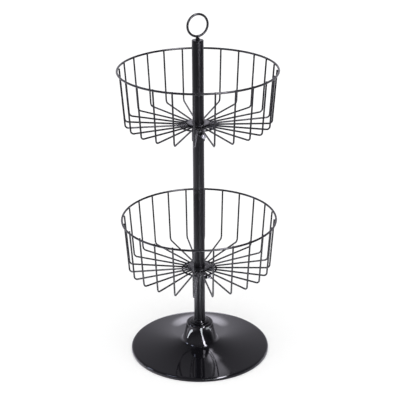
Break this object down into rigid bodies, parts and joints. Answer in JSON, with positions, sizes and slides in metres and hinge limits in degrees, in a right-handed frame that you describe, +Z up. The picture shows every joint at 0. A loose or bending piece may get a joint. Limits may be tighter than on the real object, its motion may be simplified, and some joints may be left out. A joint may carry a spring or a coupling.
{
  "type": "nail polish rack",
  "caption": "Two-tier countertop spinner with round wire baskets that turn on a pole standing in a trumpet-shaped base, under a ring handle",
  "frame": {"origin": "centre of the base on the standing surface", "axes": "+Z up along the pole; the ring handle's left side, seen from the front, is turned 26 degrees towards the front, -Y; +X to the right"},
  "size_m": [0.3088, 0.3088, 0.7034],
  "materials": {
    "gloss_black_lacquer": "high gloss black lacquer",
    "satin_black_coat": "semi-gloss black powder coat",
    "bright_zinc": "bright zinc plating",
    "black_rubber": "matt moulded rubber",
    "white_nylon": "natural moulded nylon",
    "raw_steel": "plain mill-finish steel"
  },
  "bodies": {
    "base": {"base_shell": "gloss_black_lacquer", "ballast_plate": "raw_steel", "foot_pad_1": "black_rubber", "foot_pad_2": "black_rubber", "foot_pad_3": "black_rubber", "foot_pad_4": "black_rubber", "foot_flange": "satin_black_coat", "bolt_washer": "bright_zinc", "tie_bolt": "bright_zinc", "lower_pole": "satin_black_coat", "pole_coupler": "satin_black_coat", "upper_pole": "satin_black_coat", "end_cap": "satin_black_coat", "ring_nut": "satin_black_coat", "ring_handle": "satin_black_coat"},
    "lower_stop": {"lower_collar": "satin_black_coat"},
    "lower_screw": {"lower_thumb_screw": "bright_zinc"},
    "lower_basket": {"lower_rim": "satin_black_coat", "lower_rib_cage": "satin_black_coat", "lower_hub_disc": "satin_black_coat", "lower_bearing_washer": "white_nylon"},
    "upper_stop": {"upper_collar": "satin_black_coat"},
    "upper_screw": {"upper_thumb_screw": "bright_zinc"},
    "upper_basket": {"upper_rim": "satin_black_coat", "upper_rib_cage": "satin_black_coat", "upper_hub_disc": "satin_black_coat", "upper_bearing_washer": "white_nylon"}
  },
  "joints": [
    {"name": "lower_height", "type": "slide", "parent": "base", "child": "lower_stop", "axis": [0, 0, 1], "range_m": [-0.08, 0.15]},
    {"name": "lower_basket_spin", "type": "hinge", "parent": "lower_stop", "child": "lower_basket", "pos_m": [0, 0, 0.1855], "axis": [0, 0, 1], "continuous": true},
    {"name": "lower_screw_turn", "type": "hinge", "parent": "lower_stop", "child": "lower_screw", "pos_m": [0.01712, -0.00556, 0.1643], "axis": [0.9511, -0.309, 0], "range_deg": [-720, 0]},
    {"name": "upper_height", "type": "slide", "parent": "base", "child": "upper_stop", "axis": [0, 0, 1], "range_m": [-0.09, 0.15]},
    {"name": "upper_basket_spin", "type": "hinge", "parent": "upper_stop", "child": "upper_basket", "pos_m": [0, 0, 0.49], "axis": [0, 0, 1], "continuous": true},
    {"name": "upper_screw_turn", "type": "hinge", "parent": "upper_stop", "child": "upper_screw", "pos_m": [0.009, -0.01559, 0.4688], "axis": [0.5, -0.866, 0], "range_deg": [-720, 0]}
  ]
}
